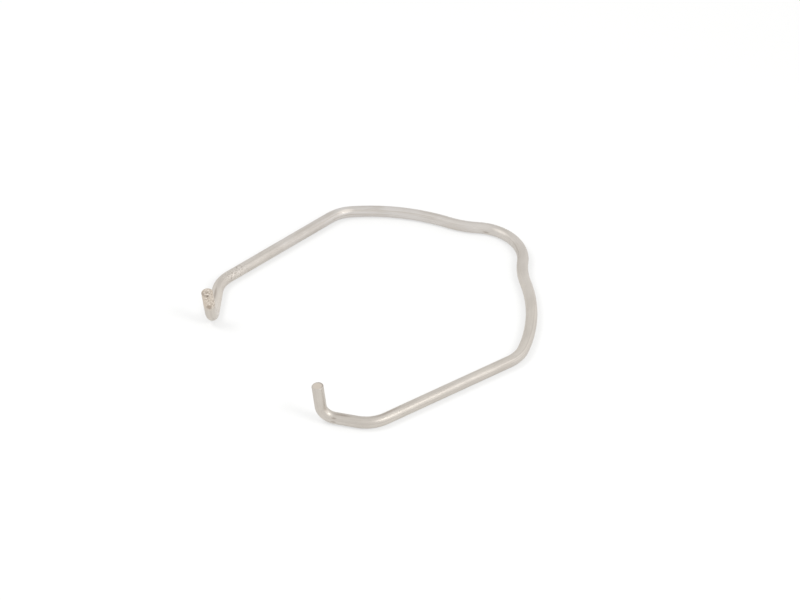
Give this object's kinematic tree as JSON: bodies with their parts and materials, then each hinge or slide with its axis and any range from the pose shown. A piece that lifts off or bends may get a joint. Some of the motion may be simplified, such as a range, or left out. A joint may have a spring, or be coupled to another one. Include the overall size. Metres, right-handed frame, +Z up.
{
  "type": "spring clip",
  "caption": "C-shaped spring clip bent from round steel wire, with straight gripping sides, a curved pull nose and upturned tips that hook into the part it retains.",
  "frame": {"origin": "under the middle of the clip's box, on the surface that it lies on", "axes": "+X along the clip from its open mouth to its pull nose, +Y across it from side to side, +Z up, the way the tips point"},
  "size_m": [0.071, 0.0642, 0.0098],
  "materials": {
    "steel_wire": "satin drawn wire, warm pale grey, lightly worn"
  },
  "bodies": {
    "root": {"clip_wire": "steel_wire"}
  },
  "joints": []
}
